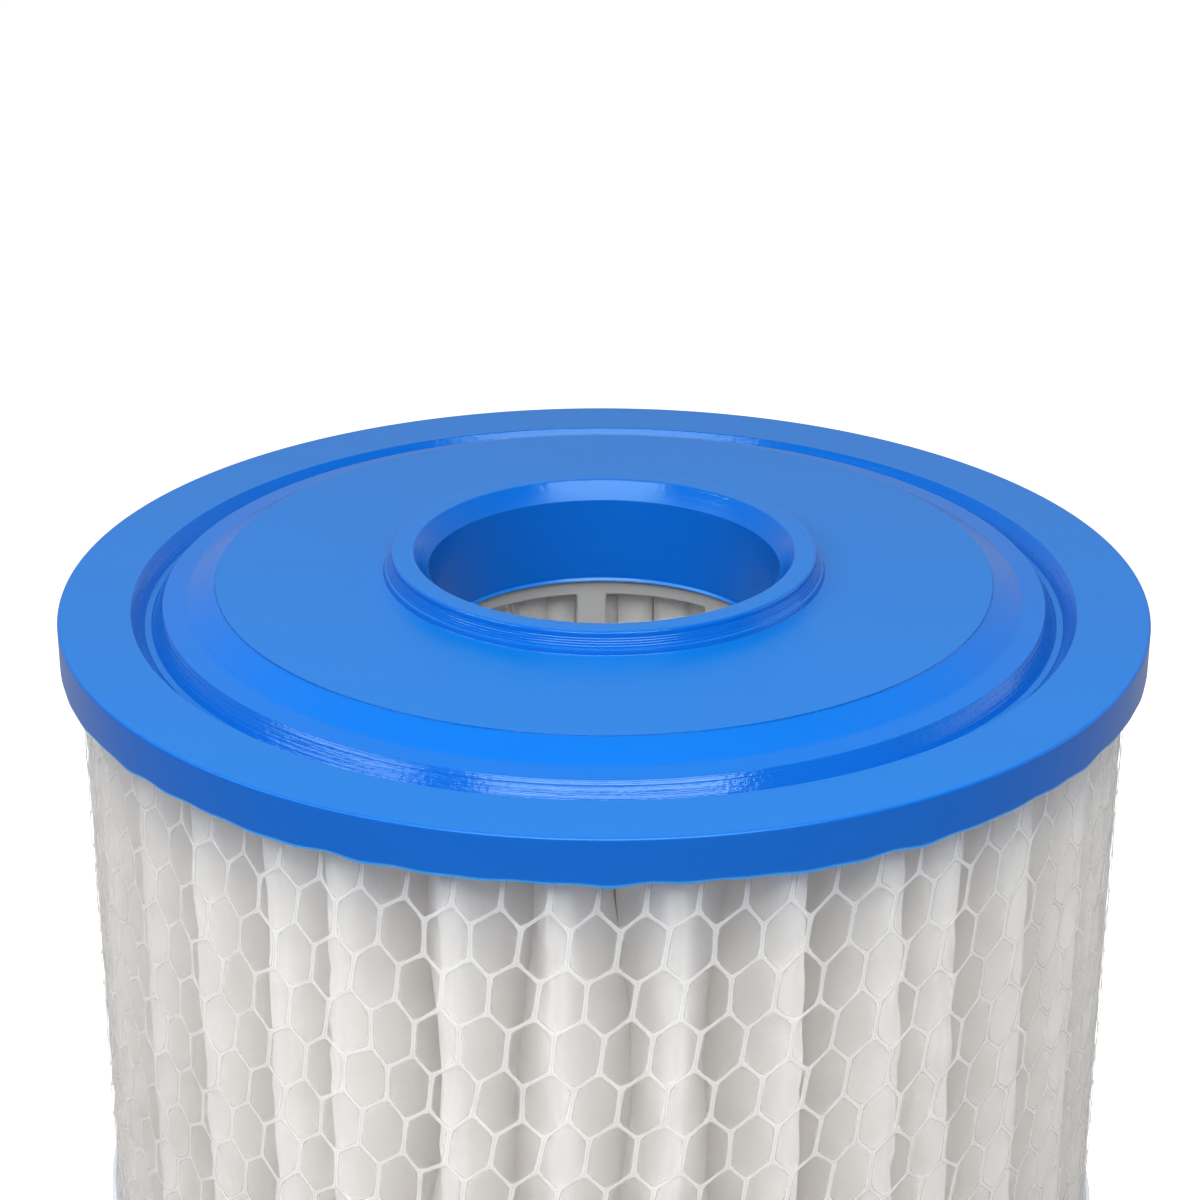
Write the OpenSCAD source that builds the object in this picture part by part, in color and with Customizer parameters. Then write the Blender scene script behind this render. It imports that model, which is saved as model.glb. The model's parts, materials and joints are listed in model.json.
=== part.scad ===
// Pleated pool and spa filter cartridge, open at both ends.
// Standing on its lower collar: origin at the centre of the footprint, +Z along the flow axis.

/* [Cartridge] */
// Outside diameter of the end caps
cap_od = 117.5; // [112:0.5:125]
// Overall length from collar lip to collar lip
overall_length = 203.2; // [180:0.1:260]
// Diameter of the bore in each end cap
bore_d = 38.1; // [37:0.1:38.6]

/* [End caps] */
// Depth of the skirt below the rim land
skirt_h = 5; // [4:0.1:6]
// Width of the flat rim land
rim_land_w = 7.7; // [6:0.1:8.5]
// Depth of the annular groove inside the rim
groove_depth = 1.7; // [1:0.1:2]
// Height of the raised disc above the rim land
disc_rise = 2.3; // [1.5:0.1:3]
// Height of the collar lip above the rim land
lip_rise = 4.6; // [4:0.1:6]
// Depth of the bore wall below the rim land
bore_wall_depth = 7.4; // [6.5:0.1:9]

/* [Pleated media] */
// Number of pleats
pleat_count = 34; // [24:1:40]
// Thickness of the non-woven sheet
media_t = 0.8; // [0.5:0.05:0.9]
// Width of the sheet over its outer folds
tip_w = 2.1; // [2:0.1:2.6]
// Direction the seam pleat points in, in degrees from +X towards +Y
seam_azimuth = 86; // [0:1:359]
// Depth to which pleats, core and netting are cast into each cap
cast_depth = 2; // [1:0.1:2.5]

/* [Core] */
// Outside diameter of the core
core_od = 44.6; // [44:0.1:46]
// Wall thickness of the core
core_wall = 2.6; // [2:0.1:2.8]
// Number of upright ribs
rib_count = 8; // [6:2:10]
// Width of each rib
rib_w = 3.6; // [2.5:0.1:5]
// Height of each core ring
ring_h = 3.4; // [2.5:0.1:5]
// Number of windows above each other in each half of the core
window_rows = 6; // [4:1:8]
// Length of the spigot that joins the two halves
spigot_h = 4; // [3:0.5:6]
// Turn of the core in the caps, in degrees
core_turn = 4.2; // [0:0.1:45]

/* [Netting and bands] */
// Outside diameter of the netting sleeve
netting_od = 114.1; // [113:0.1:114.5]
// Thickness of the netting
netting_t = 0.65; // [0.4:0.05:0.8]
// Width of each spacing band
band_w = 8; // [5:0.5:12]
// Thickness of each spacing band
band_t = 0.5; // [0.3:0.1:0.6]
// Distance from a rim land to the middle of the nearest band
band_offset = 76.4; // [40:0.1:80]

/* [Hidden] */
$fn = 96;

EPS = 0.01;
CAP_BLUE = [0.10, 0.45, 0.90];
MEDIA_WHITE = [0.90, 0.89, 0.86];
CORE_WHITE = [0.86, 0.87, 0.88];
NET_WHITE = [0.93, 0.94, 0.94];
BEAD_AMBER = [0.88, 0.83, 0.68];

cap_r = cap_od / 2;
bore_r = bore_d / 2;
top_land_z = overall_length - lip_rise;
mid_z = overall_length / 2;

// Radii of the cap's rings, from the bore outwards.
lip_in_r = bore_r + 1.65;
lip_out_r = lip_in_r + 2.3;
collar_base_r = lip_out_r + 0.7;
disc_r = cap_r * 0.714;
shoulder_r = cap_r * 0.77;
shelf_r = cap_r * 0.81;
groove_in_r = shelf_r + 1.3;
groove_out_r = cap_r - rim_land_w - 1.4;
groove_edge_r = cap_r - rim_land_w;

// Heights of the cap's rings, from the rim land.
throat_z = lip_rise - 1.95;
shoulder_z = 0.62;
shelf_z = 0.38;
edge_round = 0.35;
collar_fillet = 0.7;

core_r = core_od / 2;
core_bore_r = core_r - core_wall;
cast_z = skirt_h - cast_depth;
inside_low_z = lip_rise + cast_z;
inside_high_z = top_land_z - cast_z;
inside_h = inside_high_z - inside_low_z;

net_r = netting_od / 2;
net_in_r = net_r - netting_t;
tip_r = net_in_r - media_t / 2 - 0.05;
root_r = core_r + media_t / 2 + 0.1;
root_w = 1.2;
seam_gap = 0.5;
seam_depth = 9;

// Quarter circle about c from angle a0 to a1.
function arc(c, r, a0, a1, steps = 6) =
    [for (i = [0:steps]) let (a = a0 + (a1 - a0) * i / steps) c + r * [cos(a), sin(a)]];

// Half section of a cap, with the rim land at z = 0 and the collar upwards.
function cap_outline() = concat(
    [[bore_r, -bore_wall_depth], [bore_r, throat_z], [lip_in_r, lip_rise]],
    arc([lip_out_r - edge_round, lip_rise - edge_round], edge_round, 90, 10),
    arc([collar_base_r + collar_fillet, disc_rise + collar_fillet], collar_fillet, 190, 270),
    [[disc_r, disc_rise], [shoulder_r, shoulder_z], [shelf_r, shelf_z]],
    [[groove_in_r, -groove_depth], [groove_out_r, -groove_depth], [groove_edge_r, 0]],
    arc([cap_r - edge_round, -edge_round], edge_round, 90, 0),
    arc([cap_r - edge_round, -skirt_h + edge_round], edge_round, 0, -90),
    [[net_r, -skirt_h], [net_r, -cast_z], [net_in_r, -cast_z], [net_in_r, -skirt_h]],
    [[core_r, -skirt_h], [core_r, -cast_z], [core_bore_r, -cast_z]],
    [[core_bore_r, -bore_wall_depth]]
);

// Cast end cap: rim land, groove, raised disc, chamfered collar, and slots for core and netting.
module end_cap() {
    color(CAP_BLUE) rotate_extrude() polygon(cap_outline());
}

module top_end_cap() {
    translate([0, 0, top_land_z]) end_cap();
}

module bottom_end_cap() {
    translate([0, 0, lip_rise]) mirror([0, 0, 1]) end_cap();
}

function polar(r, a) = r * [cos(a), sin(a)];
function half_angle(w, r) = asin(w / 2 / r);
function side(p, q) = let (d = (q - p) / norm(q - p)) [d.y, -d.x];

// Corner of an offset line: q moved by d to the right of the path p, q, r.
function corner(p, q, r, d) = let (a = side(p, q), b = side(q, r)) q + d * (a + b) / (1 + a * b);

pleat_step = 360 / pleat_count;

// Centre line of the folded sheet, from one side of the seam pleat round to the other.
function sheet_line() = concat(
    [polar(tip_r, seam_azimuth + half_angle(seam_gap + media_t, tip_r))],
    [for (k = [0:pleat_count - 1])
        let (root_a = seam_azimuth + (k + 0.5) * pleat_step, next_a = root_a + pleat_step / 2)
        each concat(
            [polar(root_r, root_a - half_angle(root_w, root_r))],
            [polar(root_r, root_a + half_angle(root_w, root_r))],
            k == pleat_count - 1 ? [] : [
                polar(tip_r, next_a - half_angle(tip_w - media_t, tip_r)),
                polar(tip_r, next_a + half_angle(tip_w - media_t, tip_r))
            ]
        )
    ],
    [polar(tip_r, seam_azimuth - half_angle(seam_gap + media_t, tip_r))]
);

// One face of the sheet, d from its centre line.
function sheet_face(line, d) = let (last = len(line) - 1) concat(
    [line[0] + d * side(line[0], line[1])],
    [for (i = [1:last - 1]) corner(line[i - 1], line[i], line[i + 1], d)],
    [line[last] + d * side(line[last - 1], line[last])]
);

function reversed(list) = [for (i = [len(list) - 1:-1:0]) list[i]];

// Non-woven sheet folded into straight radial pleats, one open loop closed by the seam bead.
module pleated_media() {
    line = sheet_line();
    color(MEDIA_WHITE) translate([0, 0, inside_low_z]) linear_extrude(inside_h)
        polygon(concat(sheet_face(line, media_t / 2), reversed(sheet_face(line, -media_t / 2))));
}

// Bead of adhesive between the two free edges of the sheet, along the whole seam pleat.
module side_seam_bead() {
    root_half = root_r * tan(pleat_step / 2) - root_w / 2;
    slope = (root_half - (seam_gap + media_t) / 2) / (tip_r - root_r);
    wide = seam_gap / 2 + slope * seam_depth;
    color(BEAD_AMBER) translate([0, 0, inside_low_z]) rotate([0, 0, seam_azimuth - 90])
        linear_extrude(inside_h) polygon([
            [-seam_gap / 2, tip_r], [seam_gap / 2, tip_r],
            [wide, tip_r - seam_depth], [-wide, tip_r - seam_depth]
        ]);
}

core_half_h = inside_h / 2;
joint_ring_h = spigot_h + ring_h;
end_ring_h = ring_h + 1.5;
window_pitch = (core_half_h - end_ring_h - joint_ring_h + ring_h) / window_rows;
window_h = window_pitch - ring_h;

module ring(r_out, r_in, h) {
    difference() {
        cylinder(r = r_out, h = h);
        translate([0, 0, -EPS]) cylinder(r = r_in, h = h + 2 * EPS);
    }
}

// Half of the core, joint end at z = 0 and end ring upwards: rings tied by upright ribs.
module core_half() {
    module windows() {
        width = 2 * core_bore_r * sin(180 / rib_count) - rib_w;
        for (row = [0:window_rows - 1]) {
            translate([0, 0, joint_ring_h + row * window_pitch + window_h / 2])
                for (k = [0:rib_count / 2 - 1])
                    rotate([0, 0, (k + 0.5) * 360 / rib_count]) cube([2 * core_od, width, window_h], center = true);
        }
    }
    difference() {
        ring(core_r, core_bore_r, core_half_h);
        windows();
    }
}

spigot_r = core_r - core_wall / 2;

// Upper half of the core, with a spigot below that enters the lower half.
module core_upper_cage() {
    color(CORE_WHITE) translate([0, 0, mid_z]) rotate([0, 0, core_turn]) union() {
        core_half();
        translate([0, 0, -spigot_h]) ring(spigot_r, core_bore_r, spigot_h + EPS);
    }
}

// Lower half of the core, with the socket for the spigot.
module core_lower_cage() {
    color(CORE_WHITE) translate([0, 0, mid_z]) rotate([0, 0, core_turn]) difference() {
        mirror([0, 0, 1]) core_half();
        translate([0, 0, -spigot_h]) cylinder(r = spigot_r, h = spigot_h + EPS);
    }
}

// Extruded honeycomb netting, as the plain tube that its strands fill.
module netting_sleeve() {
    color(NET_WHITE) translate([0, 0, inside_low_z]) ring(net_r, net_in_r, inside_h);
}

// Band wound round the netting to keep the pleats evenly spaced.
module spacing_band(z) {
    color(NET_WHITE) translate([0, 0, z - band_w / 2]) ring(net_r + band_t, net_r, band_w);
}

module upper_spacing_band() {
    spacing_band(top_land_z - band_offset);
}

module lower_spacing_band() {
    spacing_band(lip_rise + band_offset);
}

top_end_cap();
bottom_end_cap();
pleated_media();
side_seam_bead();
core_upper_cage();
core_lower_cage();
netting_sleeve();
upper_spacing_band();
lower_spacing_band();
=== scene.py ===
"""Pleated pool and spa filter cartridge: the looks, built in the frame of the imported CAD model."""

import itertools
import json
import math

import bpy
import numpy as np
from mathutils import Matrix, Vector


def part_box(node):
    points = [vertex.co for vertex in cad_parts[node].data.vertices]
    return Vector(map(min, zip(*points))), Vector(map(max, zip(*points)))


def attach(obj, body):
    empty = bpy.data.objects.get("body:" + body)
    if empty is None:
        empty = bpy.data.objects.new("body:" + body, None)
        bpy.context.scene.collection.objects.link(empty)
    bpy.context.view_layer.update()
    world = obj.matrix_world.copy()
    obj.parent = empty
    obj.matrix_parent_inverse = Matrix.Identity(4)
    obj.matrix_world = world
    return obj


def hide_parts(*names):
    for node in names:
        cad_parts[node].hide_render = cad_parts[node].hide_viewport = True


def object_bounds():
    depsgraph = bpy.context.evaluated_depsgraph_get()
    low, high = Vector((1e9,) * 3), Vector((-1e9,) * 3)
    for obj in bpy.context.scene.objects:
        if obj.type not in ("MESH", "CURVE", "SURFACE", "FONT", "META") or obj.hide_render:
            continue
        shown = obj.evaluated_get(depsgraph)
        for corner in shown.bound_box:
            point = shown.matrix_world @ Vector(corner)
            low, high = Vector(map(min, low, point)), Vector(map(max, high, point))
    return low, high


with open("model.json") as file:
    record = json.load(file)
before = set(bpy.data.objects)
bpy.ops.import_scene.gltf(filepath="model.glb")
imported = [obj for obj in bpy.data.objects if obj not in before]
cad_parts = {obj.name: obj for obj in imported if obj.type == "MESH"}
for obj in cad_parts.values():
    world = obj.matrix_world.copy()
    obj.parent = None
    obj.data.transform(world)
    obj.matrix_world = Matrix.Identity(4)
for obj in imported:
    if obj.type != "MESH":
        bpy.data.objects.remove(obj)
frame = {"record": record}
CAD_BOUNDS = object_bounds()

MM = 0.001
RNG = np.random.default_rng(11)


# ---------------------------------------------------------------- sizes, from the frame

def half_width(node):
    lo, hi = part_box(node)
    return max(hi[0] - lo[0], hi[1] - lo[1]) / 2


def z_range(node):
    lo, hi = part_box(node)
    return lo[2], hi[2]


MOUNTS = {m["name"]: m for m in frame["record"]["mounts"]}
CAP_R = half_width("top_end_cap")
BORE_R = MOUNTS["top_bore"]["dims"]["r_mm"] * MM
NET_R = half_width("netting_sleeve")
CORE_R = half_width("core_upper_cage")
BASE_Z, TOP_Z = CAD_BOUNDS[0][2], CAD_BOUNDS[1][2]
SIDES_LOW_Z, SIDES_HIGH_Z = z_range("netting_sleeve")

LIP_RISE = 4.6 * MM  # collar lip above the rim land
SKIRT_H = 5.0 * MM
GROOVE_DEPTH = 1.7 * MM
DISC_RISE = 2.3 * MM
NET_T = 0.65 * MM
MEDIA_T = 0.8 * MM
CORE_WALL = 2.6 * MM
LAND_Z = TOP_Z - LIP_RISE
BORE_WALL_DEPTH = LAND_Z - z_range("top_end_cap")[0]

PLEATS = 34
SEAM_DEG = 86.0  # azimuth of the seam pleat, at the back
STEP_DEG = 360 / PLEATS


# ---------------------------------------------------------------- camera

CAMERA_DISTANCE = 5.269 * CAP_R
CAMERA_ELEVATION = 22.825
CAMERA_PITCH = 23.115
CAMERA_YAW = -0.085
CAMERA_ROLL = 0.1625
CAMERA_LENS = 85.18


def make_camera():
    data = bpy.data.cameras.new("camera")
    data.sensor_width = 36
    data.lens = CAMERA_LENS
    data.clip_start = 0.02
    cam = bpy.data.objects.new("camera", data)
    bpy.context.scene.collection.objects.link(cam)
    up, pitch, yaw, roll = (
        math.radians(a) for a in (CAMERA_ELEVATION, CAMERA_PITCH, CAMERA_YAW, CAMERA_ROLL)
    )
    place = Vector((0, -math.cos(up) * CAMERA_DISTANCE, LAND_Z + math.sin(up) * CAMERA_DISTANCE))
    ahead = Vector((math.sin(yaw) * math.cos(pitch), math.cos(yaw) * math.cos(pitch), -math.sin(pitch)))
    right = ahead.cross(Vector((0, 0, 1))).normalized()
    above = right.cross(ahead)
    x = right * math.cos(roll) + above * math.sin(roll)
    y = above * math.cos(roll) - right * math.sin(roll)
    turn = Matrix((x, y, -ahead)).transposed().to_4x4()
    cam.matrix_world = Matrix.Translation(place) @ turn
    bpy.context.scene.camera = cam


# ---------------------------------------------------------------- mesh helpers

def new_piece(name, verts, faces, material, smooth=True):
    mesh = bpy.data.meshes.new(name)
    mesh.from_pydata([tuple(v) for v in verts], [], [tuple(int(i) for i in f) for f in faces])
    mesh.validate()
    mesh.update()
    if smooth:
        mesh.shade_smooth()
    obj = bpy.data.objects.new(name, mesh)
    bpy.context.scene.collection.objects.link(obj)
    obj.data.materials.append(material)
    return obj


def point_values(obj, name, values):
    layer = obj.data.attributes.new(name, "FLOAT", "POINT")
    layer.data.foreach_set("value", np.asarray(values, dtype=np.float32))


def apply_modifiers(obj):
    graph = bpy.context.evaluated_depsgraph_get()
    mesh = bpy.data.meshes.new_from_object(obj.evaluated_get(graph), depsgraph=graph)
    obj.modifiers.clear()
    obj.data = mesh


def rounded(points, segments=5):
    """Closed outline of (r, z, fillet radius) corners, as a dense list of (r, z) with rounded corners."""
    corners = [np.array(p[:2]) for p in points]
    radii = [p[2] for p in points]
    out = []
    for i, p in enumerate(corners):
        to_last = corners[i - 1] - p
        to_next = corners[(i + 1) % len(corners)] - p
        len_last, len_next = np.linalg.norm(to_last), np.linalg.norm(to_next)
        a, b = to_last / len_last, to_next / len_next
        half = math.acos(max(-1, min(1, float(a @ b)))) / 2
        reach = min(radii[i] / max(math.tan(half), 1e-6), 0.49 * len_last, 0.49 * len_next)
        if reach < 1e-6:
            out.append(p)
            continue
        start, end = p + a * reach, p + b * reach
        for k in range(segments + 1):
            t = k / segments
            out.append((1 - t) ** 2 * start + 2 * t * (1 - t) * p + t**2 * end)
    return with_supports(out)


def with_supports(line, near=0.08 * MM, long=0.6 * MM):
    """Adds a point close to each end of a long straight stretch, so that smooth shading keeps it flat."""
    out = []
    for i, p in enumerate(line):
        q = line[(i + 1) % len(line)]
        gap = np.linalg.norm(q - p)
        out.append(p)
        if gap > long:
            out += [p + (q - p) * near / gap, q - (q - p) * near / gap]
    return out


def lathe(name, outline, material, turns=320, shape=None):
    """Closed outline of (r, z) turned about the Z axis. shape(r, z, angle) may move each point."""
    angle = np.linspace(0, 2 * math.pi, turns, endpoint=False)[:, None]
    line = np.array(outline)
    r = np.repeat(line[None, :, 0], turns, 0)
    z = np.repeat(line[None, :, 1], turns, 0)
    if shape:
        r, z = shape(r, z, angle)
    verts = np.stack([r * np.cos(angle), r * np.sin(angle), z], -1).reshape(-1, 3)
    n = len(outline)
    faces = [
        (a * n + i, a * n + (i + 1) % n, (a + 1) % turns * n + (i + 1) % n, (a + 1) % turns * n + i)
        for a in range(turns)
        for i in range(n)
    ]
    return new_piece(name, verts, faces, material)


def strip(name, rings, material):
    """Closed piece from a row of rings of points: each is joined to the next, and both ends are filled."""
    n, last = len(rings[0]), len(rings) - 1
    faces = [
        (a * n + i, (a + 1) * n + i, (a + 1) * n + (i + 1) % n, a * n + (i + 1) % n)
        for a in range(last)
        for i in range(n)
    ]
    faces += [tuple(range(n)), tuple(last * n + i for i in reversed(range(n)))]
    return new_piece(name, [point for ring in rings for point in ring], faces, material)


def ring_noise(rng, waves, size):
    """Smooth closed noise round the axis, as a function of the angle."""
    phases = rng.uniform(0, 2 * math.pi, len(waves))
    sizes = size * rng.uniform(0.5, 1, len(waves)) / len(waves) ** 0.5
    return lambda a: sum(s * np.sin(w * a + p) for w, p, s in zip(waves, phases, sizes))


def line_noise(rng, pitch, count=7):
    """Smooth noise of about -1 to 1 along a length, with bumps about pitch apart."""
    freq = rng.uniform(0.45, 1.5, count) * 2 * math.pi / pitch
    phase = rng.uniform(0, 2 * math.pi, count)
    return lambda z: sum(np.sin(f * z + p) for f, p in zip(freq, phase)) / count**0.5 * 0.8


# ---------------------------------------------------------------- materials

class Nodes:
    """Short way to write a node tree."""

    def __init__(self, name):
        self.material = bpy.data.materials.new(name)
        self.material.use_nodes = True
        self.tree = self.material.node_tree
        self.tree.nodes.clear()
        self.out = self.add("ShaderNodeOutputMaterial")
        self.object_co = self.add("ShaderNodeTexCoord").outputs["Object"]

    def add(self, kind, inputs=None, **settings):
        node = self.tree.nodes.new(kind)
        for key, value in settings.items():
            setattr(node, key, value)
        for key, value in (inputs or {}).items():
            if isinstance(value, bpy.types.NodeSocket):
                self.tree.links.new(value, node.inputs[key])
            else:
                node.inputs[key].default_value = value
        return node

    def math(self, operation, a, b=0.0):
        return self.add("ShaderNodeMath", {0: a, 1: b}, operation=operation).outputs[0]

    def noise(self, scale, vector=None, detail=3.0, roughness=0.5):
        inputs = {"Scale": scale, "Detail": detail, "Roughness": roughness}
        inputs["Vector"] = vector or self.object_co
        return self.add("ShaderNodeTexNoise", inputs).outputs[0]

    def stretched(self, x, y, z):
        return self.add("ShaderNodeMapping", {"Vector": self.object_co, "Scale": (x, y, z)}).outputs[0]

    def ramp(self, fac, stops):
        node = self.add("ShaderNodeValToRGB", {"Fac": fac})
        elements = node.color_ramp.elements
        while len(elements) < len(stops):
            elements.new(0.5)
        for element, (place, colour) in zip(elements, stops):
            element.position = place
            element.color = (*colour, 1)
        return node.outputs["Color"]

    def mix(self, fac, a, b, blend="MIX"):
        node = self.add("ShaderNodeMix", {0: fac, 6: a, 7: b}, data_type="RGBA", blend_type=blend)
        return node.outputs[2]

    def range(self, value, low, high):
        return self.add("ShaderNodeMapRange", {"Value": value, "To Min": low, "To Max": high}).outputs[0]

    def bump(self, height, distance, strength=1.0, normal=None):
        inputs = {"Height": height, "Distance": distance, "Strength": strength}
        if normal:
            inputs["Normal"] = normal
        return self.add("ShaderNodeBump", inputs).outputs[0]

    def axis_distance(self):
        """Distance from the cartridge's axis, and height. A pattern of the two is concentric."""
        part = self.add("ShaderNodeSeparateXYZ", {0: self.object_co})
        x, y = part.outputs[0], part.outputs[1]
        square = self.math("ADD", self.math("MULTIPLY", x, x), self.math("MULTIPLY", y, y))
        return self.math("SQRT", square), part.outputs[2]

    def done(self, shader):
        self.tree.links.new(shader, self.out.inputs["Surface"])
        return self.material


def cap_material():
    """Cast resin with turned walls. The attributes wall, turned and thin come from end_cap. Colour by wall
    is painted shade, with steep walls darker and less green than the flat tops. Colour by thin is a painted
    glow for light through thin resin.
    """
    n = Nodes("cap_resin")
    radius, height = n.axis_distance()
    across = n.add("ShaderNodeCombineXYZ", {0: radius, 1: height}).outputs[0]
    wall = n.add("ShaderNodeAttribute", attribute_name="wall").outputs["Fac"]
    turned = n.add("ShaderNodeAttribute", attribute_name="turned").outputs["Fac"]
    thin = n.add("ShaderNodeAttribute", attribute_name="thin").outputs["Fac"]
    dapple = n.math("MULTIPLY", n.noise(1500), 0.9)
    rings = n.noise(3700, across, detail=2.0)
    streaks = n.math("MULTIPLY", n.math("ADD", rings, dapple), turned)
    grain = n.noise(2600, detail=2.0)
    blotch = n.noise(45, detail=4.0)
    # Painted shade: one resin in three shades by steepness. The steep walls are darker and less green than
    # the flat tops, and the slopes a little bluer.
    flat, slope, steep = (0.0012, 0.130, 0.470), (0.0010, 0.116, 0.492), (0.0006, 0.091, 0.430)
    faces = n.ramp(wall, [(0.0, flat), (0.5, slope), (1.0, steep)])
    tone = n.ramp(blotch, [(0.3, (0.97,) * 3), (0.7, (1.0,) * 3)])
    # Painted glow: a lighter blue where the attribute thin is set, at the skirt's lower edge and the foot of
    # the bore, stands for light through thin resin.
    thin_glow_colour = (0.020, 0.30, 0.80, 1)
    colour = n.mix(thin, n.mix(1.0, faces, tone, "MULTIPLY"), thin_glow_colour)
    dull = n.math("MULTIPLY", n.math("SUBTRACT", 1.0, turned), 0.7)
    rough = n.range(n.math("ADD", dull, n.math("MULTIPLY", blotch, 0.3)), 0.07, 0.36)
    normal = n.bump(streaks, 0.00006, 0.8)
    normal = n.bump(grain, 0.000008, 0.5, normal)
    shader = n.add(
        "ShaderNodeBsdfPrincipled",
        {"Base Color": colour, "Roughness": rough, "Normal": normal, "IOR": 1.5,
         "Specular IOR Level": 0.4, "Specular Tint": (0.6, 0.97, 0.95, 1)},
    )
    return n.done(shader.outputs[0])


def media_material():
    n = Nodes("media")
    fibres_a = n.noise(900, n.stretched(1, 1, 0.25), detail=6.0, roughness=0.7)
    fibres_b = n.noise(1500, n.stretched(1, 1, 1), detail=5.0, roughness=0.75)
    cloud = n.noise(110, detail=3.0)
    tone = n.math("ADD", n.math("MULTIPLY", cloud, 0.6), n.math("MULTIPLY", fibres_b, 0.4))
    colour = n.ramp(tone, [(0.3, (0.965, 0.955, 0.925)), (0.7, (0.99, 0.98, 0.955))])
    inner = n.ramp(tone, [(0.3, (0.978, 0.973, 0.972)), (0.7, (0.992, 0.987, 0.986))])
    lumps = n.noise(420, detail=2.0)
    normal = n.bump(cloud, 0.0012, 0.4)
    normal = n.bump(lumps, 0.0004, 0.4, normal)
    normal = n.bump(fibres_a, 0.00012, 0.6, normal)
    normal = n.bump(fibres_b, 0.00006, 0.6, normal)
    face = n.add(
        "ShaderNodeBsdfPrincipled",
        {"Base Color": colour, "Roughness": 0.85, "Normal": normal,
         "Sheen Weight": 0.15, "Sheen Roughness": 0.5},
    )
    through = n.add("ShaderNodeBsdfTranslucent", {"Color": inner, "Normal": normal})
    mix = n.add("ShaderNodeMixShader", {0: 0.75, 1: face.outputs[0], 2: through.outputs[0]})
    return n.done(mix.outputs[0])


def netting_material():
    """Milky strands. Their attribute edge, from netting, is 0 on the outer middle and 1 at the sides."""
    n = Nodes("netting_plastic")
    grain = n.noise(1800, detail=3.0)
    edge = n.add("ShaderNodeAttribute", attribute_name="edge").outputs["Fac"]
    colour = n.ramp(n.noise(300), [(0.3, (0.91, 0.91, 0.90)), (0.7, (0.95, 0.95, 0.94))])
    clear_at = ((0.0, 0.32), (0.35, 0.18), (0.6, 0.30), (1.0, 0.98))
    clearness = n.ramp(edge, [(place, (share,) * 3) for place, share in clear_at])
    normal = n.bump(grain, 0.00003, 0.5)
    face = n.add(
        "ShaderNodeBsdfPrincipled",
        {"Base Color": colour, "Roughness": n.range(grain, 0.25, 0.45), "Normal": normal, "IOR": 1.5},
    )
    through = n.add("ShaderNodeBsdfTranslucent", {"Color": colour, "Normal": normal})
    milky = n.add("ShaderNodeMixShader", {0: 0.5, 1: face.outputs[0], 2: through.outputs[0]})
    clear = n.add("ShaderNodeBsdfTransparent", {"Color": (1, 1, 1, 1)})
    mix = n.add("ShaderNodeMixShader", {0: clearness, 1: milky.outputs[0], 2: clear.outputs[0]})
    return n.done(mix.outputs[0])


def core_material():
    n = Nodes("core_plastic")
    grain = n.noise(700, detail=3.0)
    colour = n.ramp(n.noise(60), [(0.3, (0.37, 0.37, 0.365)), (0.7, (0.43, 0.43, 0.42))])
    normal = n.bump(grain, 0.00003, 0.5)
    face = n.add(
        "ShaderNodeBsdfPrincipled",
        {"Base Color": colour, "Roughness": n.range(grain, 0.35, 0.55), "Normal": normal, "IOR": 1.5},
    )
    through = n.add("ShaderNodeBsdfTranslucent", {"Color": (0.8, 0.8, 0.78, 1), "Normal": normal})
    mix = n.add("ShaderNodeMixShader", {0: 0.3, 1: face.outputs[0], 2: through.outputs[0]})
    return n.done(mix.outputs[0])


def band_material():
    n = Nodes("band_plastic")
    weave = n.noise(500, n.stretched(0.2, 0.2, 2.0), detail=3.0)
    colour = n.ramp(weave, [(0.3, (0.66, 0.70, 0.80)), (0.7, (0.76, 0.79, 0.86))])
    normal = n.bump(weave, 0.00005, 0.6)
    face = n.add(
        "ShaderNodeBsdfPrincipled",
        {"Base Color": colour, "Roughness": n.range(weave, 0.25, 0.45), "Normal": normal, "IOR": 1.5},
    )
    clear = n.add("ShaderNodeBsdfTransparent", {"Color": (0.97, 0.98, 1, 1)})
    mix = n.add("ShaderNodeMixShader", {0: 0.5, 1: face.outputs[0], 2: clear.outputs[0]})
    return n.done(mix.outputs[0])


def bead_material():
    n = Nodes("seam_adhesive")
    lumps = n.noise(220, n.stretched(1, 1, 0.4), detail=3.0)
    colour = n.ramp(lumps, [(0.3, (0.66, 0.58, 0.40)), (0.7, (0.78, 0.72, 0.55))])
    normal = n.bump(lumps, 0.0002, 0.6)
    shader = n.add(
        "ShaderNodeBsdfPrincipled",
        {"Base Color": colour, "Roughness": n.range(lumps, 0.2, 0.4), "Normal": normal, "IOR": 1.48},
    )
    return n.done(shader.outputs[0])


def floor_material():
    n = Nodes("floor")
    faint = n.noise(3, detail=2.0)
    colour = n.ramp(faint, [(0.3, (0.93, 0.93, 0.93)), (0.7, (0.95, 0.95, 0.95))])
    shader = n.add(
        "ShaderNodeBsdfPrincipled",
        {"Base Color": colour, "Roughness": 0.7,
         "Emission Color": (1, 1, 1, 1), "Emission Strength": FLOOR_GLOW},
    )
    return n.done(shader.outputs[0])


# ---------------------------------------------------------------- end caps

CHAMFER_W, CHAMFER_H = 1.65 * MM, 1.95 * MM
LIP_W = 2.3 * MM
LAND_W = 7.7 * MM
GROOVE_WALL_W = 1.4 * MM  # across the groove's outer wall
SHELF_RISE = 0.38 * MM  # of the shelf's outer edge over the rim land
SLOPE_FOOT_RISE = 0.62 * MM
DISC_EDGE_R = CAP_R * 0.714
SLOPE_FOOT_R = CAP_R * 0.768
SHELF_R = CAP_R * 0.81  # outer edge
DISC_STEP = 0.16 * MM  # down from the disc's edge to its slope
CAST_DEPTH = 2.0 * MM  # that the core stands in a cap


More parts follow.
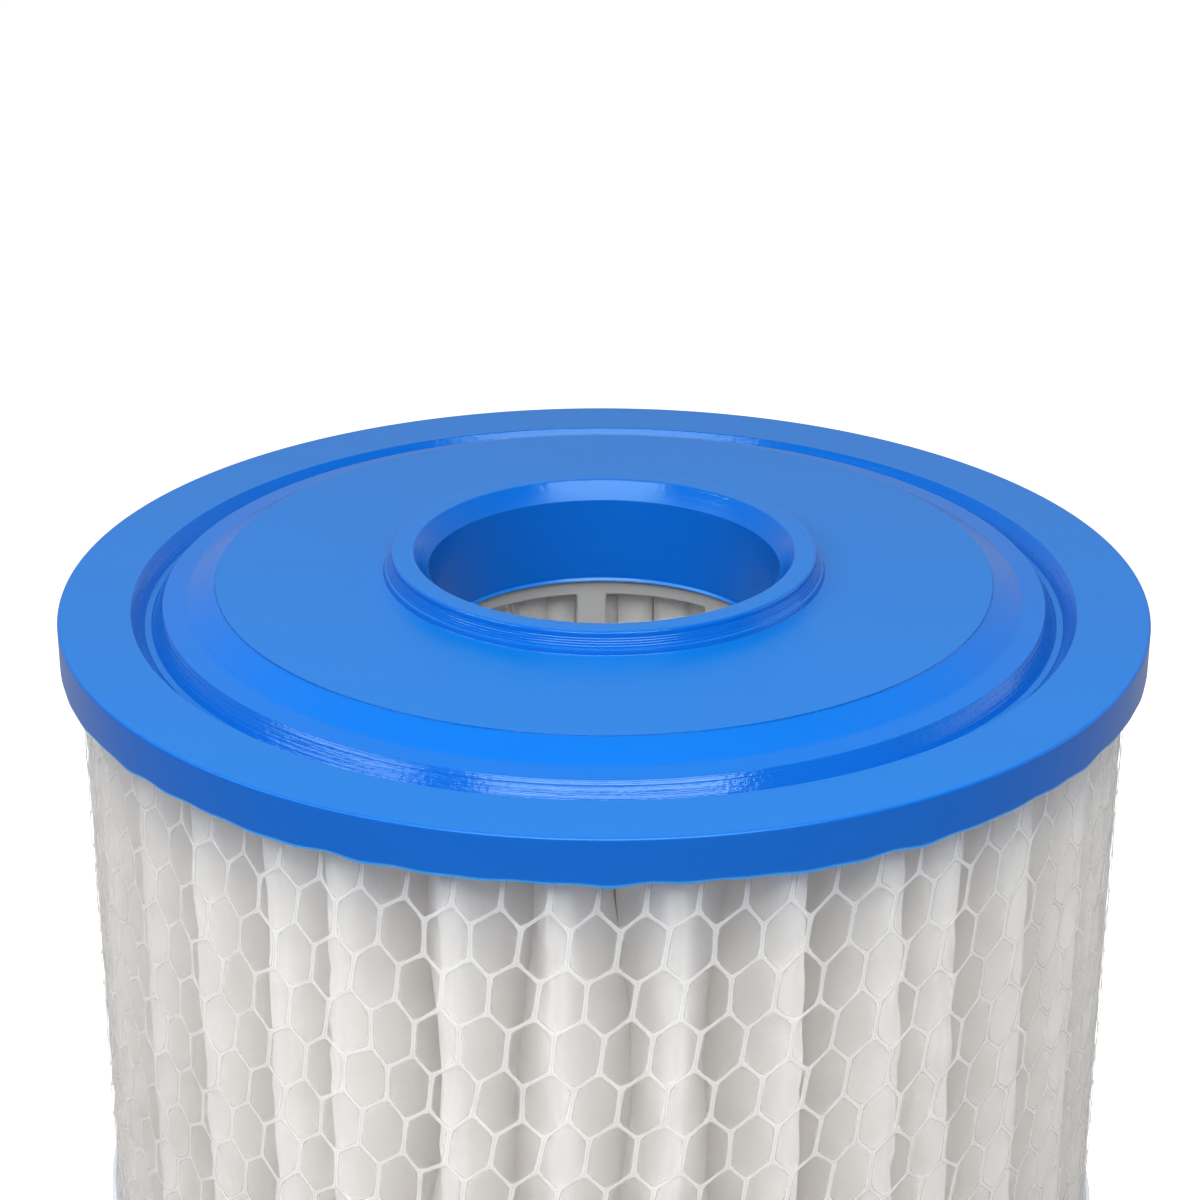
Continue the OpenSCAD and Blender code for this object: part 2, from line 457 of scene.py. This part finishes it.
def cap_outline():
    """Half section of a cap from its land at z = 0: (r, z, fillet)."""
    mm = MM
    lip_in = BORE_R + CHAMFER_W
    lip_out = lip_in + LIP_W
    land_in = CAP_R - LAND_W
    core_in = CORE_R - CORE_WALL
    under = -SKIRT_H + 0.15 * mm
    side_top = np.array([lip_out, LIP_RISE - 0.45 * mm])
    side_foot = np.array([lip_out + 0.5 * mm, 2.95 * mm])
    turned = []  # fine lines round the lip's outer side
    lines = 5
    for k in range(1, lines):
        r, z = side_top + (side_foot - side_top) * k / lines
        turned += [(r - 0.035 * mm, z + 0.03 * mm, 0.01 * mm), (r + 0.02 * mm, z - 0.03 * mm, 0.01 * mm)]
    return rounded(
        [
            (BORE_R - 0.12 * mm, -BORE_WALL_DEPTH, 0.06 * mm),
            (BORE_R - 0.2 * mm, -BORE_WALL_DEPTH + 0.12 * mm, 0.06 * mm),
            (BORE_R, -BORE_WALL_DEPTH + 0.42 * mm, 0.12 * mm),
            (BORE_R, LIP_RISE - CHAMFER_H, 0.12 * mm),
            (lip_in, LIP_RISE, 0.3 * mm),
            (lip_out, LIP_RISE, 0.4 * mm),
            *turned,
            (side_foot[0], side_foot[1], 0.04 * mm),
            (side_foot[0] + 0.28 * mm, 2.86 * mm, 0.06 * mm),
            (side_foot[0] + 0.4 * mm, DISC_RISE + 0.05 * mm, 0.12 * mm),
            (side_foot[0] + 1.3 * mm, DISC_RISE, 0.6 * mm),
            (DISC_EDGE_R, DISC_RISE, 0.04 * mm),
            (DISC_EDGE_R + 0.04 * mm, DISC_RISE - DISC_STEP, 0.04 * mm),
            (DISC_EDGE_R + 0.14 * mm, DISC_RISE - DISC_STEP, 0.03 * mm),
            (SLOPE_FOOT_R, SLOPE_FOOT_RISE, 1.6 * mm),
            (SHELF_R, SHELF_RISE, 0.22 * mm),
            (SHELF_R + 1.3 * mm, -GROOVE_DEPTH, 0.25 * mm),
            (land_in - GROOVE_WALL_W, -GROOVE_DEPTH, 0.25 * mm),
            (land_in, 0, 0.16 * mm),
            (CAP_R, 0, 0.3 * mm),
            (CAP_R, -SKIRT_H, 0.45 * mm),
            (NET_R - 1.2 * mm, under, 0.1 * mm),
            (CORE_R, under, 0.3 * mm),
            (CORE_R, -SKIRT_H + CAST_DEPTH, 0),
            (core_in, -SKIRT_H + CAST_DEPTH, 0),
            (core_in, -BORE_WALL_DEPTH, 0.1 * mm),
        ]
    )


def end_cap(name, node, material, land_z, way, seed):
    """way is 1 for the upper cap and -1 for the lower one.

    The skirt's lower edge is uneven, as the resin was cast. Three values on each point tell the material
    which faces are walls and get painted shade, which were turned, and where a painted glow stands for light
    through thin resin.
    """
    rng = np.random.default_rng(seed)
    edge = ring_noise(rng, (4, 7, 13, 21, 34, 47, 61), 0.28 * MM)
    flat = ring_noise(rng, (2, 3, 5), 0.05 * MM)

    def shape(r, z, a):
        low = np.clip((-z - SKIRT_H + 1.6 * MM) / (1.6 * MM), 0, 1)
        outer = np.clip((r - NET_R + 2 * MM) / (2 * MM), 0, 1)
        z = z + low * outer * edge(a) + flat(a) * (r > BORE_R + 6 * MM)
        return r, land_z + way * z

    outline = cap_outline()
    obj = lathe(name, outline, material, shape=shape)
    if way < 0:
        obj.data.flip_normals()
    r, z = np.array(outline).T
    # Painted glow: marks the skirt's lower edge, and more faintly the foot of the bore, where the material
    # paints a lighter blue for light through thin resin.
    skirt_edge_glow = np.clip((-SKIRT_H + 0.5 * MM - z) / (0.2 * MM), 0, 1) * (r > CAP_R - 0.6 * MM)
    bore_foot_glow = 0.2 * (z < -BORE_WALL_DEPTH + 0.4 * MM) * (r < BORE_R)
    steep = np.abs(np.gradient(z)) / (np.abs(np.gradient(r)) + np.abs(np.gradient(z)) + 1e-9)
    turned = np.clip((steep - 0.25) / 0.25, 0, 1) * (r > BORE_R + 0.1 * MM) * (r < CAP_R * 0.87)
    around = len(obj.data.vertices) // len(r)
    point_values(obj, "thin", np.tile(skirt_edge_glow + bore_foot_glow, around))
    point_values(obj, "turned", np.tile(turned, around))
    # Painted shade: the steeper a face, the darker and less green the material paints it.
    wall = np.interp(steep, (0.03, 0.1, 0.35, 0.6), (0, 0.4, 0.5, 1))
    point_values(obj, "wall", np.tile(wall, around))
    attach(obj, "root")
    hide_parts(node)
    return obj


# ---------------------------------------------------------------- pleated media

TIP_HALF = 1.05 * MM  # half the width of an outer fold
ROOT_HALF = 1.7 * MM  # half the width of an inner fold, on the sheet's middle
ROOT_RISE = 0.4 * MM  # of an inner fold's sides over its middle
ROOT_SHAPE = ((-1, 1), (-0.45, 0), (0.45, 0), (1, 1))
FLANK_GAP = 0.01 * MM  # left between two pleats where they swell towards each other
NET_CLEARANCE = 0.15 * MM  # between the netting and the outermost fold
CAST_ENDS = 14 * MM  # near the caps, where the resin holds the pleats straighter
CORE_CLEARANCE = 0.1 * MM  # between the core and the inner folds
SEAM_HALF = 0.25 * MM  # half the room between the sheet's two edges
BEAD_HALF = 0.24 * MM  # half the width of the bead that fills it
VALLEY_FOLLOW = 0.35  # how far an inner fold follows its two outer folds off even spacing
# Share of a flank's length from the outer fold, and share of the free room the swelling takes there.
SWELL = ((0.08, 0.30), (0.24, 1.0), (0.62, 0.9))
# How far the pleats at the front stand off even spacing, in degrees, from left to right.
FRONT_OFFSETS = (1.8, 1.6, 1.2, -1.8, -0.6, 0.0, 0.3, 1.7, 1.9, -1.1, -1.1, 0.6)
FRONT_FIRST = 12  # pleats from the seam to the first of them


def pleat_offsets():
    offsets = RNG.uniform(-1.3, 1.3, PLEATS)
    offsets[FRONT_FIRST : FRONT_FIRST + len(FRONT_OFFSETS)] = FRONT_OFFSETS
    offsets[0] = 0
    return offsets


OFFSETS = pleat_offsets()
RIDGE_DEG = SEAM_DEG + np.arange(PLEATS) * STEP_DEG + OFFSETS


def media_rows(count):
    return np.linspace(SIDES_LOW_Z, SIDES_HIGH_Z, count)


def unit(v):
    return v / np.maximum(np.linalg.norm(v, axis=-1, keepdims=True), 1e-12)


def beside(r, a, side=0.0, out=0.0):
    """Points at radius r and azimuth a, moved sideways and outwards."""
    along = np.stack([np.cos(a), np.sin(a)], -1)
    across = np.stack([-np.sin(a), np.cos(a)], -1)
    return along * (r + out)[..., None] + across * np.broadcast_to(side, a.shape)[..., None]


def fold_arc(r, a, w, degrees):
    """Columns round an outer fold whose half width is w."""
    return [beside(r, a, w * math.sin(t), w * math.cos(t)) for t in np.radians(degrees)]


def outer_folds(z, ends):
    """Azimuth, radius and half width of every outer fold at the heights z. They sway less near the caps."""
    ridge_a, ridge_r, ridge_w = [], [], []
    for k in range(PLEATS):
        fine, mid, slow = line_noise(RNG, 4 * MM), line_noise(RNG, 14 * MM), line_noise(RNG, 90 * MM)
        rough, squeeze = line_noise(RNG, 5 * MM), line_noise(RNG, 9 * MM)
        swing = (0.10 * fine(z) + (0.20 * mid(z) + 0.5 * slow(z)) * ends) * MM / NET_R
        ridge_a.append(np.radians(RIDGE_DEG[k]) + swing)
        ridge_r.append(NET_R - NET_T - NET_CLEARANCE - (0.10 + 0.10 * rough(z)) * MM)
        ridge_w.append(TIP_HALF - MEDIA_T / 2 + 0.2 * squeeze(z) * MM)
    return ridge_a, ridge_r, ridge_w


def flank_pair(head, root, next_head, share, ends):
    """The two flanks of a valley, which swell towards each other: columns down one and up the other."""
    down, up = [], []
    for depth, fill in SWELL:
        here = head + (root[0] - head) * depth
        there = next_head + (root[-1] - next_head) * depth
        apart = there - here
        width = np.linalg.norm(apart, axis=-1)
        room = np.maximum(width - MEDIA_T - FLANK_GAP, 0) * fill * (0.85 + 0.15 * ends)
        push = apart / width[:, None] * room[:, None]
        down.append(here + push * share[0][:, None])
        up.insert(0, there - push * share[1][:, None])
    return down, up


def media_line(z):
    """Centre line of the sheet at the heights z: array of (columns, heights, 2)."""
    ends = np.clip(np.minimum(z - SIDES_LOW_Z, SIDES_HIGH_Z - z) / CAST_ENDS, 0, 1)
    ends = ends * ends * (3 - 2 * ends)
    ridge_a, ridge_r, ridge_w = outer_folds(z, ends)
    columns = []

    def seam_edge(way):
        seam = np.full_like(z, math.radians(SEAM_DEG))
        return beside(ridge_r[0] + MEDIA_T / 2, seam, way * (SEAM_HALF + MEDIA_T / 2))

    def outer_fold(k, degrees):
        return fold_arc(ridge_r[k] - ridge_w[k], ridge_a[k], ridge_w[k], degrees)

    for k in range(PLEATS):
        tip = outer_fold(k, (-86, -45, 0, 45, 86)) if k else [seam_edge(1)]
        after = (k + 1) % PLEATS
        last = outer_fold(after, (-86,))[0] if after else seam_edge(-1)
        middle = np.radians(SEAM_DEG + (k + 0.5) * STEP_DEG)
        ridges = (ridge_a[k] + ridge_a[after] + (2 * math.pi if after == 0 else 0)) / 2
        valley = middle + VALLEY_FOLLOW * (ridges - middle)
        inner = np.full_like(z, CORE_R + MEDIA_T / 2 + CORE_CLEARANCE)
        root = [beside(inner, valley, side * ROOT_HALF, rise * ROOT_RISE) for side, rise in ROOT_SHAPE]
        part = 0.5 + RNG.uniform(-0.12, 0.12) + 0.16 * line_noise(RNG, 60 * MM)(z)
        part = np.clip(part, 0.2, 0.8)
        share = (part * (k > 0), (1 - part) * (after > 0))
        down, up = flank_pair(tip[-1], root, last, share, ends)
        columns += tip + down + root + up
    columns.append(last)
    return np.stack(columns)


def sheet_normals(line):
    before = unit(line[1:-1] - line[:-2])
    after = unit(line[2:] - line[1:-1])
    middle = unit(before + after)
    along = np.concatenate([unit(line[1:2] - line[0:1]), middle, unit(line[-1:] - line[-2:-1])])
    return np.stack([along[..., 1], -along[..., 0]], -1)


def pleated_media(material):
    rows = 97
    z = media_rows(rows)
    line = media_line(z)
    normal = sheet_normals(line)
    outside = line + normal * MEDIA_T / 2
    inside = line - normal * MEDIA_T / 2
    count = len(line)
    height = np.broadcast_to(z, (count, rows))[..., None]
    sides = [np.concatenate([side, height], -1).reshape(-1, 3) for side in (outside, inside)]
    far = count * rows
    faces = []
    for c in range(count - 1):
        for r in range(rows - 1):
            i = c * rows + r
            faces.append((i, i + rows, i + rows + 1, i + 1))
            faces.append((far + i, far + i + 1, far + i + rows + 1, far + i + rows))
    for c in range(count - 1):
        i, j = c * rows, c * rows + rows - 1
        faces.append((i, far + i, far + i + rows, i + rows))
        faces.append((j, j + rows, far + j + rows, far + j))
    for r in range(rows - 1):
        i, j = r, (count - 1) * rows + r
        faces.append((i, i + 1, far + i + 1, far + i))
        faces.append((j, far + j, far + j + 1, j + 1))
    obj = new_piece("pleated_media_sheet", np.concatenate(sides), faces, material)
    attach(obj, "root")
    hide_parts("pleated_media")
    return obj


def seam_bead(material):
    """Strip of adhesive between the sheet's two edges. Its outer edge is uneven, as it was squeezed out."""
    rng = np.random.default_rng(7)
    fine, slow = line_noise(rng, 3 * MM), line_noise(rng, 20 * MM)
    lo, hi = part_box("side_seam_bead")
    seam = math.radians(SEAM_DEG)
    inner, outer = lo[1] / math.sin(seam), hi[1] / math.sin(seam)
    inside, outside = 0.1 * MM, 0.2 * MM  # fillets
    section = rounded(
        [
            (inner, BEAD_HALF, inside),
            (outer, BEAD_HALF, outside),
            (outer, -BEAD_HALF, outside),
            (inner, -BEAD_HALF, inside),
        ],
        3,
    )
    rings = []
    for z in np.linspace(lo[2], hi[2], 320):
        lump = (0.12 * fine(z) + 0.14 * slow(z)) * MM
        ring = []
        for r, side in section:
            r += lump * (r > outer - 1 * MM)
            x, y = r * math.cos(seam) - side * math.sin(seam), r * math.sin(seam) + side * math.cos(seam)
            ring.append((x, y, z))
        rings.append(ring)
    obj = strip("seam_bead_strip", rings, material)
    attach(obj, "root")
    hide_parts("side_seam_bead")
    return obj


# ---------------------------------------------------------------- netting

CELLS = 78
ROWS = 32
ROW_PITCH = 5.72 * MM
UPRIGHT = 3.9 * MM  # length of a cell's upright strands
FIRST_JUNCTION = 8.9 * MM  # below the rim land
PHASE_DEG = -0.5  # of the first upright strand, from the front
LEAN = 0.15  # of a cell, that each row hangs back
UPRIGHT_W = 0.62 * MM  # two strands run side by side in an upright
SLANT_W = 0.46 * MM
APEX_WEB = 0.42 * MM  # from a junction's middle to the hole, where two slants part
SIDE_WEB = 0.52 * MM  # the same, where an upright meets a slant
WEB_SPREAD = 0.05 * MM
STRAND_DEPTH = 0.16 * MM
SAG = 0.25 * MM  # of the net between two pleats
UNEVEN = 0.022  # of a cell, the spread of the junctions' places
WEB_END = 0.28  # share of a strand's length over which its web narrows at each end
APEXES = (2, 5)  # corners of a cell where two slants part
UPRIGHTS = (0, 3)  # corners of a cell where the next strand is an upright


def net_point(point, out):
    """Place in space of a point given as distance round and depth below the rim land, and moved outwards."""
    a = math.radians(-90 + PHASE_DEG) + point[0] / NET_R
    gap = np.degrees(a) - RIDGE_DEG
    nearest = np.abs((gap + 180) % 360 - 180).min() / (STEP_DEG / 2)
    sag = SAG * (1 - math.cos(math.pi * min(nearest, 1))) / 2
    r = NET_R - NET_T / 2 - sag + out
    return (r * math.cos(a), r * math.sin(a), LAND_Z - point[1])


def cell_corners(row, column):
    """Junctions round a cell, as (row, column, whether it is an upright's head)."""
    return [
        (row, column, False),
        (row, column, True),
        (row - 1, column + 1, False),
        (row, column + 1, True),
        (row, column + 1, False),
        (row + 1, column, True),
    ]


def cell_ring(points, keys):
    """For each point round a cell: its key, its place on a strand's middle, the hole's point beside it."""
    ring = []
    for s in range(6):
        p, q, last = points[s], points[(s + 1) % 6], points[s - 1]
        inward = unit(unit(last - p) + unit(q - p))
        ring.append((keys[s], p, p + inward * (APEX_WEB if s in APEXES else SIDE_WEB)))
        along = unit(q - p)
        side = np.array([-along[1], along[0]])
        side = side if side @ (sum(points) / 6 - p) > 0 else -side
        half = (UPRIGHT_W if s in UPRIGHTS else SLANT_W) / 2
        for t, near, far in ((WEB_END, s, s + 1), (1 - WEB_END, s + 1, s)):
            strand = p + (q - p) * t
            reach = half if near % 6 in APEXES else half + WEB_SPREAD
            ring.append(((keys[near % 6], keys[far % 6]), strand, strand + side * reach))
    return ring


def netting(material):
    """One net of elongated hexagons, each cell a ring of faces between its strands' middles and its hole.

    rims holds the faces that close the net's thickness along edges which no second cell shares.
    """
    rng = np.random.default_rng(5)
    width = 2 * math.pi / CELLS * NET_R
    jitter = rng.normal(0, UNEVEN, (ROWS + 2, CELLS, 2, 2))
    verts, faces, edge, shared, rims = [], [], [], {}, {}

    def junction(row, column, head):
        """Foot or head of a cell's first upright, as distance round and depth below the rim land."""
        dx, dy = jitter[row + 1, column % CELLS, int(head)]
        lean = LEAN * UPRIGHT / ROW_PITCH if head else 0
        across = (column + (0.5 - LEAN) * row + lean + dx) * width
        down = FIRST_JUNCTION + (row + dy) * ROW_PITCH - (UPRIGHT if head else 0)
        return np.array([across, down])

    def middle(key, point):
        """Index of a strand's outer middle point, which the cells beside it share. The inner one is next."""
        if key not in shared:
            shared[key] = len(verts)
            verts.extend([net_point(point, STRAND_DEPTH / 2), net_point(point, -STRAND_DEPTH / 2)])
            edge.extend([0.0, 1.0])
        return shared[key]

    for row, column in itertools.product(range(ROWS), range(CELLS)):
        corners = cell_corners(row, column)
        keys = [(r, c % CELLS, head) for r, c, head in corners]
        cell = cell_ring([junction(*corner) for corner in corners], keys)
        ring = [middle(key, strand) for key, strand, hole in cell]
        base, count = len(verts), len(ring)
        verts += [net_point(hole, 0) for key, strand, hole in cell]
        edge += [1.0] * count
        for s in range(count):
            t = (s + 1) % count
            faces.append((ring[s], ring[t], base + t, base + s))
            faces.append((ring[t] + 1, ring[s] + 1, base + s, base + t))
            if not rims.pop((ring[t], ring[s]), None):
                rims[ring[s], ring[t]] = (ring[t], ring[s], ring[s] + 1, ring[t] + 1)
    obj = new_piece("netting_strands", verts, faces + list(rims.values()), material)
    obj.data.flip_normals()
    obj.data.set_sharp_from_angle(angle=math.radians(80))
    point_values(obj, "edge", edge)
    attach(obj, "root")
    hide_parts("netting_sleeve")
    return obj


# ---------------------------------------------------------------- core

RIBS = 8
RIB_DEG = 94.2
RIB_W = 3.6 * MM
RING_H = 3.4 * MM
END_RING = RING_H + 3.0 * MM
WINDOW_ROWS = 6
WINDOW_PARTS = 6  # faces across a window, which keep its edges round
JOINT_RING = 7.4 * MM


def core_heights(length):
    """Heights over the joint where the rings and the windows of a half start and end."""
    pitch = (length - JOINT_RING - END_RING + RING_H) / WINDOW_ROWS
    heights = [0.0, JOINT_RING]
    for _ in range(WINDOW_ROWS):
        heights.append(heights[-1] + pitch - RING_H)
        heights.append(heights[-1] + RING_H)
    heights[-1] = length
    return heights


def core_columns(middle_r):
    """Azimuths where the core's faces start, and whether each face belongs to a rib."""
    rib = RIB_W / middle_r / 2
    step = 2 * math.pi / RIBS
    angles, solid = [], []
    for k in range(RIBS):
        start = math.radians(RIB_DEG) + k * step
        angles += [start - rib, start]
        solid += [True, True]
        for part in range(WINDOW_PARTS):
            angles.append(start + rib + (step - 2 * rib) * part / WINDOW_PARTS)
            solid.append(False)
    return angles, solid


def core_half(name, node, material, joint_z, end_z):
    """Cage of rings and ribs: a shell with its windows left out, thickened and rounded."""
    way = 1 if end_z > joint_z else -1
    middle_r = CORE_R - CORE_WALL / 2
    heights = core_heights(abs(end_z - joint_z))
    angles, solid = core_columns(middle_r)
    verts = [
        (middle_r * math.cos(a), middle_r * math.sin(a), joint_z + way * h) for h in heights for a in angles
    ]
    n = len(angles)
    faces = []
    for level in range(len(heights) - 1):
        window = level % 2 == 1
        for i in range(n):
            if window and not solid[i]:
                continue
            j = (i + 1) % n
            quad = (level * n + i, level * n + j, (level + 1) * n + j, (level + 1) * n + i)
            faces.append(quad if way > 0 else quad[::-1])
    obj = new_piece(name, verts, faces, material)
    thick = obj.modifiers.new("wall", "SOLIDIFY")
    thick.thickness = CORE_WALL
    thick.offset = 0
    soft = obj.modifiers.new("edges", "BEVEL")
    soft.width = 0.35 * MM
    soft.segments = 3
    soft.limit_method = "ANGLE"
    soft.angle_limit = math.radians(40)
    apply_modifiers(obj)
    obj.data.shade_smooth()
    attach(obj, "root")
    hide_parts(node)
    return obj


# ---------------------------------------------------------------- bands

BAND_LAP_DEG = 14.0
BAND_SLANT = 1.6 * MM  # that a band stands higher at its left side, and lower at its right
BAND_SHARE = 0.9  # of the CAD band's thickness that one layer of the strap takes


def spacing_band(name, node, material, lap_deg):
    """Thin strap wound once round the netting, with its end lapped and welded over its start."""
    low, high = z_range(node)
    thick = half_width(node) - NET_R
    ramp = math.radians(5)  # over which the lapped end rises
    angles = np.linspace(0, 2 * math.pi + math.radians(BAND_LAP_DEG), 240)
    section = rounded(
        [(0, low, 0.12 * MM), (thick, low, 0.2 * MM), (thick, high, 0.2 * MM), (0, high, 0.12 * MM)], 3
    )
    wave = ring_noise(np.random.default_rng(3), (5, 9, 17), 0.12 * MM)
    rings = []
    for a in angles:
        over = np.clip((a - 2 * math.pi + ramp) / ramp, 0, 1)
        lift = thick * BAND_SHARE * over * over * (3 - 2 * over)
        around = a + math.radians(lap_deg)
        rise = float(wave(around)) - BAND_SLANT * math.cos(around)
        ring = []
        for r, z in section:
            radial = NET_R + r * BAND_SHARE + lift
            ring.append((radial * math.cos(around), radial * math.sin(around), z + rise))
        rings.append(ring)
    obj = strip(name, rings, material)
    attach(obj, "root")
    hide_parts(node)
    return obj


# ---------------------------------------------------------------- studio

# Strength of the world, as a sum: it grows from front to back, more comes from below, as from a pale floor,
# and less from the zenith. Each row: axis of the direction, where the change starts and ends, both shares.
WORLD_SPANS = (
    ("Y", -0.3, 0.95, 0.27, 0.52),
    ("Z", -0.35, -0.85, 0.0, 0.8),
    ("Z", 0.5, 1.0, 0.0, -0.15),
)
# Name, azimuth and elevation in degrees, distance and size in metres, power in watts. The key box and the
# low strip make the highlight on the groove's inner wall, and the left box its second one. The weak lamp
# inside the core stands in for daylight that comes through the lower bore.
LIGHTS = (
    ("key_box", 0, 57, 0.42, (0.42, 0.28), 2.25),
    ("low_strip", 2, 36, 0.42, (0.4, 0.05), 0.9),
    ("left_box", -68, 32, 0.6, (0.4, 0.13), 1.2),
    ("right_box", 100, 5, 0.8, (0.5, 0.4), 0.6),
    ("core_glow", 0, -90, LAND_Z / 2, (0.03, 0.03), 0.03),
)
FLOOR_GLOW = 0.7
FLOOR_HALF = 40.0
MAX_BOUNCES = 40
SOFT_BOUNCES = 32  # diffuse and transmission, for light between and through the pleats


def area_light(name, azimuth, elevation, distance, size, power):
    """Soft box that looks at the middle of the upper cap. Azimuth is from the front, to the right."""
    data = bpy.data.lights.new(name, "AREA")
    data.shape = "RECTANGLE"
    data.size, data.size_y = size
    data.energy = power
    obj = bpy.data.objects.new(name, data)
    bpy.context.scene.collection.objects.link(obj)
    turn, up = math.radians(azimuth), math.radians(elevation)
    ray = Vector((math.sin(turn) * math.cos(up), -math.cos(turn) * math.cos(up), math.sin(up)))
    obj.location = Vector((0, 0, LAND_Z)) + ray * distance
    obj.rotation_euler = ray.to_track_quat("Z", "Y").to_euler()
    obj.visible_camera = False


def make_world():
    world = bpy.data.worlds.new("studio")
    bpy.context.scene.world = world
    world.use_nodes = True
    nodes, links = world.node_tree.nodes, world.node_tree.links
    ways = nodes.new("ShaderNodeSeparateXYZ")
    links.new(nodes.new("ShaderNodeTexCoord").outputs["Generated"], ways.inputs[0])
    total = None
    for axis, *span in WORLD_SPANS:
        ramp = nodes.new("ShaderNodeMapRange")
        ramp.interpolation_type = "SMOOTHSTEP"
        for name, value in zip(("From Min", "From Max", "To Min", "To Max"), span):
            ramp.inputs[name].default_value = value
        links.new(ways.outputs[axis], ramp.inputs["Value"])
        share = ramp.outputs[0]
        if total:
            added = nodes.new("ShaderNodeMath")
            links.new(total, added.inputs[0])
            links.new(share, added.inputs[1])
            share = added.outputs[0]
        total = share
    links.new(total, nodes["Background"].inputs["Strength"])
    nodes["Background"].inputs["Color"].default_value = (1, 1, 1, 1)


def make_floor():
    """Pale floor that the camera sees, and that neither lights the object nor shows in it."""
    half = FLOOR_HALF
    corners = [(-half, -half, 0), (half, -half, 0), (half, half, 0), (-half, half, 0)]
    floor = new_piece("floor", corners, [(0, 1, 2, 3)], floor_material(), smooth=False)
    floor.visible_diffuse = False
    floor.visible_glossy = False
    floor.visible_transmission = False


def studio():
    scene = bpy.context.scene
    scene.view_settings.view_transform = "Standard"
    scene.cycles.max_bounces = MAX_BOUNCES
    scene.cycles.diffuse_bounces = SOFT_BOUNCES
    scene.cycles.transmission_bounces = SOFT_BOUNCES
    make_world()
    for light in LIGHTS:
        area_light(*light)
    make_floor()


# ---------------------------------------------------------------- the cartridge

def build():
    make_camera()
    blue = cap_material()
    end_cap("top_end_cap_detail", "top_end_cap", blue, LAND_Z, 1, 1)
    end_cap("bottom_end_cap_detail", "bottom_end_cap", blue, BASE_Z + LIP_RISE, -1, 2)
    pleated_media(media_material())
    netting(netting_material())
    white = core_material()
    joint = (SIDES_LOW_Z + SIDES_HIGH_Z) / 2
    core_half("core_upper_detail", "core_upper_cage", white, joint, SIDES_HIGH_Z)
    core_half("core_lower_detail", "core_lower_cage", white, joint, SIDES_LOW_Z)
    strap = band_material()
    spacing_band("upper_band_strap", "upper_spacing_band", strap, 60)
    spacing_band("lower_band_strap", "lower_spacing_band", strap, 75)
    seam_bead(bead_material())
    studio()


build()
